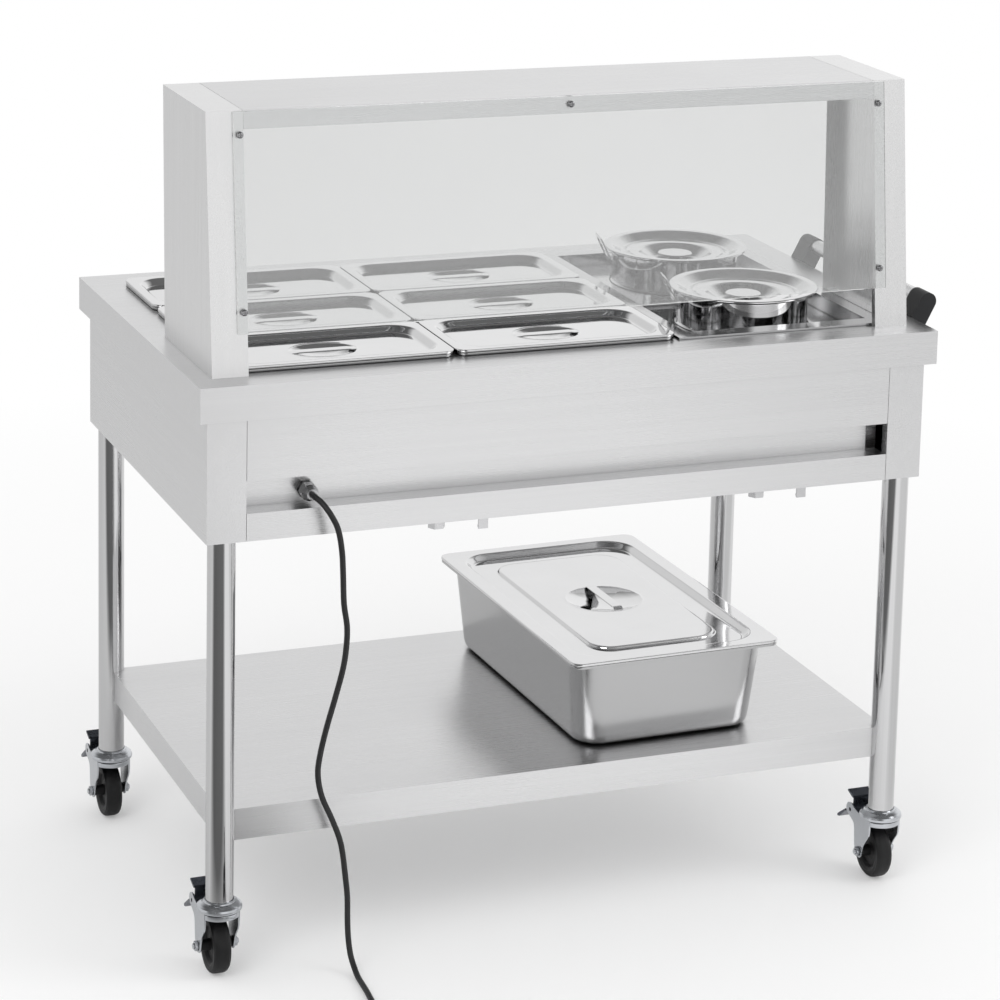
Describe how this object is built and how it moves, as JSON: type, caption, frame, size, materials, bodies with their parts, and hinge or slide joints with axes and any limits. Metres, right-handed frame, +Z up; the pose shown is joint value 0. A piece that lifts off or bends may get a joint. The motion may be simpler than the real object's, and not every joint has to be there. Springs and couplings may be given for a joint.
{
  "type": "electric steam table",
  "caption": "Wheeled stainless steam table: counter with covered food pans and pots, glass sneeze guard, lower shelf, brake casters and drain taps.",
  "frame": {"origin": "middle of the table's footprint on the floor, without the loose cord", "axes": "+X along the counter towards the handle, +Y from the glass side to the operator side, +Z up"},
  "size_m": [1.1184, 1.14, 1.185],
  "materials": {
    "brushed_sheet": "brushed stainless sheet",
    "polished_ware": "bright rolled stainless ware",
    "polished_tube": "polished stainless tube",
    "plated_fitting": "nickel plated fittings",
    "heater_sheath": "dull sheathed element",
    "black_knob": "moulded knob",
    "amber_lamp": "clear amber lens",
    "zinc_fork": "bright zinc plate",
    "black_rubber": "solid rubber tread",
    "zinc_pedal": "plated pressed steel",
    "clear_glass": "toughened clear pane",
    "black_bracket": "moulded bracket",
    "grip_tube": "satin tube",
    "black_cord": "flexible sheath",
    "tie_strap": "plastic strap"
  },
  "bodies": {
    "table": {"counter_top": "brushed_sheet", "tanks": "brushed_sheet", "heaters": "heater_sheath", "drain_valves": "plated_fitting", "side_panels": "brushed_sheet", "upper_front_panel": "brushed_sheet", "inner_front_panel": "brushed_sheet", "front_rail": "brushed_sheet", "bottom_cover": "brushed_sheet", "control_panel": "brushed_sheet", "pilot_lamps": "amber_lamp", "legs": "polished_tube", "under_shelf": "brushed_sheet", "caster_heads": "zinc_fork", "guard_posts": "brushed_sheet", "guard_shelf": "brushed_sheet", "guard_glass": "clear_glass", "guard_screws": "plated_fitting", "handle_brackets": "black_bracket", "handle_tube": "grip_tube", "cable_gland": "plated_fitting", "power_cord": "black_cord", "cord_coil": "black_cord", "cord_plug": "black_cord", "cord_tie": "tie_strap"},
    "adapter_trays": {"adapter_trays": "polished_ware"},
    "fork_1": {"fork_1": "zinc_fork"},
    "wheel_1": {"wheel_1": "black_rubber"},
    "pedal_1": {"pedal_1": "zinc_pedal"},
    "fork_2": {"fork_2": "zinc_fork"},
    "wheel_2": {"wheel_2": "black_rubber"},
    "pedal_2": {"pedal_2": "zinc_pedal"},
    "fork_3": {"fork_3": "zinc_fork"},
    "wheel_3": {"wheel_3": "black_rubber"},
    "pedal_3": {"pedal_3": "zinc_pedal"},
    "fork_4": {"fork_4": "zinc_fork"},
    "wheel_4": {"wheel_4": "black_rubber"},
    "pedal_4": {"pedal_4": "zinc_pedal"},
    "pan_1": {"pan_1": "polished_ware"},
    "pan_lid_1": {"pan_lid_1": "polished_ware"},
    "pan_2": {"pan_2": "polished_ware"},
    "pan_lid_2": {"pan_lid_2": "polished_ware"},
    "pan_3": {"pan_3": "polished_ware"},
    "pan_lid_3": {"pan_lid_3": "polished_ware"},
    "pan_4": {"pan_4": "polished_ware"},
    "pan_lid_4": {"pan_lid_4": "polished_ware"},
    "pan_5": {"pan_5": "polished_ware"},
    "pan_lid_5": {"pan_lid_5": "polished_ware"},
    "pan_6": {"pan_6": "polished_ware"},
    "pan_lid_6": {"pan_lid_6": "polished_ware"},
    "pot_front": {"pot_front": "polished_ware"},
    "pot_lid_front": {"pot_lid_front": "polished_ware"},
    "pot_rear": {"pot_rear": "polished_ware"},
    "pot_lid_rear": {"pot_lid_rear": "polished_ware"},
    "shelf_pan": {"shelf_pan": "polished_ware"},
    "shelf_lid": {"shelf_lid": "polished_ware"},
    "knob_left": {"knob_left": "black_knob"},
    "drain_lever_left": {"drain_lever_left": "plated_fitting"},
    "knob_right": {"knob_right": "black_knob"},
    "drain_lever_right": {"drain_lever_right": "plated_fitting"}
  },
  "joints": [
    {"name": "adapter_trays_lift", "type": "slide", "parent": "table", "child": "adapter_trays", "axis": [0, 0, 1], "range_m": [0, 0.03]},
    {"name": "caster_1_swivel", "type": "hinge", "parent": "table", "child": "fork_1", "pos_m": [-0.51975, -0.319, 0.096], "axis": [0, 0, 1], "continuous": true},
    {"name": "caster_1_roll", "type": "hinge", "parent": "fork_1", "child": "wheel_1", "pos_m": [-0.51975, -0.302, 0.04], "axis": [1, 0, 0], "continuous": true},
    {"name": "caster_1_brake", "type": "hinge", "parent": "fork_1", "child": "pedal_1", "pos_m": [-0.51975, -0.271, 0.093], "axis": [1, 0, 0], "range_deg": [-12, 0]},
    {"name": "caster_2_swivel", "type": "hinge", "parent": "table", "child": "fork_2", "pos_m": [0.48125, -0.319, 0.096], "axis": [0, 0, 1], "continuous": true},
    {"name": "caster_2_roll", "type": "hinge", "parent": "fork_2", "child": "wheel_2", "pos_m": [0.48125, -0.302, 0.04], "axis": [1, 0, 0], "continuous": true},
    {"name": "caster_2_brake", "type": "hinge", "parent": "fork_2", "child": "pedal_2", "pos_m": [0.48125, -0.271, 0.093], "axis": [1, 0, 0], "range_deg": [-12, 0]},
    {"name": "caster_3_swivel", "type": "hinge", "parent": "table", "child": "fork_3", "pos_m": [-0.51975, 0.263, 0.096], "axis": [0, 0, 1], "continuous": true},
    {"name": "caster_3_roll", "type": "hinge", "parent": "fork_3", "child": "wheel_3", "pos_m": [-0.51975, 0.28, 0.04], "axis": [1, 0, 0], "continuous": true},
    {"name": "caster_3_brake", "type": "hinge", "parent": "fork_3", "child": "pedal_3", "pos_m": [-0.51975, 0.311, 0.093], "axis": [1, 0, 0], "range_deg": [-12, 0]},
    {"name": "caster_4_swivel", "type": "hinge", "parent": "table", "child": "fork_4", "pos_m": [0.48125, 0.263, 0.096], "axis": [0, 0, 1], "continuous": true},
    {"name": "caster_4_roll", "type": "hinge", "parent": "fork_4", "child": "wheel_4", "pos_m": [0.48125, 0.28, 0.04], "axis": [1, 0, 0], "continuous": true},
    {"name": "caster_4_brake", "type": "hinge", "parent": "fork_4", "child": "pedal_4", "pos_m": [0.48125, 0.311, 0.093], "axis": [1, 0, 0], "range_deg": [-12, 0]},
    {"name": "pan_1_lift", "type": "slide", "parent": "table", "child": "pan_1", "axis": [0, 0, 1], "range_m": [0, 0.018]},
    {"name": "pan_lid_1_lift", "type": "slide", "parent": "pan_1", "child": "pan_lid_1", "axis": [0, 0, 1], "range_m": [0, 0.018]},
    {"name": "pan_2_lift", "type": "slide", "parent": "table", "child": "pan_2", "axis": [0, 0, 1], "range_m": [0, 0.06]},
    {"name": "pan_lid_2_lift", "type": "slide", "parent": "pan_2", "child": "pan_lid_2", "axis": [0, 0, 1], "range_m": [0, 0.06]},
    {"name": "pan_3_lift", "type": "slide", "parent": "table", "child": "pan_3", "axis": [0, 0, 1], "range_m": [0, 0.16]},
    {"name": "pan_lid_3_lift", "type": "slide", "parent": "pan_3", "child": "pan_lid_3", "axis": [0, 0, 1], "range_m": [0, 0.14]},
    {"name": "pan_4_lift", "type": "slide", "parent": "table", "child": "pan_4", "axis": [0, 0, 1], "range_m": [0, 0.16]},
    {"name": "pan_lid_4_lift", "type": "slide", "parent": "pan_4", "child": "pan_lid_4", "axis": [0, 0, 1], "range_m": [0, 0.14]},
    {"name": "pan_5_lift", "type": "slide", "parent": "table", "child": "pan_5", "axis": [0, 0, 1], "range_m": [0, 0.16]},
    {"name": "pan_lid_5_lift", "type": "slide", "parent": "pan_5", "child": "pan_lid_5", "axis": [0, 0, 1], "range_m": [0, 0.14]},
    {"name": "pan_6_lift", "type": "slide", "parent": "table", "child": "pan_6", "axis": [0, 0, 1], "range_m": [0, 0.16]},
    {"name": "pan_lid_6_lift", "type": "slide", "parent": "pan_6", "child": "pan_lid_6", "axis": [0, 0, 1], "range_m": [0, 0.14]},
    {"name": "pot_front_lift", "type": "slide", "parent": "adapter_trays", "child": "pot_front", "axis": [0, 0, 1], "range_m": [0, 0.13]},
    {"name": "pot_lid_front_lift", "type": "slide", "parent": "pot_front", "child": "pot_lid_front", "axis": [0, 0, 1], "range_m": [0, 0.11]},
    {"name": "pot_rear_lift", "type": "slide", "parent": "adapter_trays", "child": "pot_rear", "axis": [0, 0, 1], "range_m": [0, 0.13]},
    {"name": "pot_lid_rear_lift", "type": "slide", "parent": "pot_rear", "child": "pot_lid_rear", "axis": [0, 0, 1], "range_m": [0, 0.11]},
    {"name": "shelf_pan_lift", "type": "slide", "parent": "table", "child": "shelf_pan", "axis": [0, 0, 1], "range_m": [0, 0.08]},
    {"name": "shelf_lid_lift", "type": "slide", "parent": "shelf_pan", "child": "shelf_lid", "axis": [0, 0, 1], "range_m": [0, 0.06]},
    {"name": "knob_left_turn", "type": "hinge", "parent": "table", "child": "knob_left", "pos_m": [-0.22255, 0.284, 0.712], "axis": [0, 1, 0], "range_deg": [-300, 0]},
    {"name": "drain_lever_left_turn", "type": "hinge", "parent": "table", "child": "drain_lever_left", "pos_m": [-0.18255, -0.243, 0.596], "axis": [0, 1, 0], "range_deg": [0, 90]},
    {"name": "knob_right_turn", "type": "hinge", "parent": "table", "child": "knob_right", "pos_m": [0.26735, 0.284, 0.712], "axis": [0, 1, 0], "range_deg": [-300, 0]},
    {"name": "drain_lever_right_turn", "type": "hinge", "parent": "table", "child": "drain_lever_right", "pos_m": [0.30735, -0.243, 0.596], "axis": [0, 1, 0], "range_deg": [0, 90]}
  ]
}
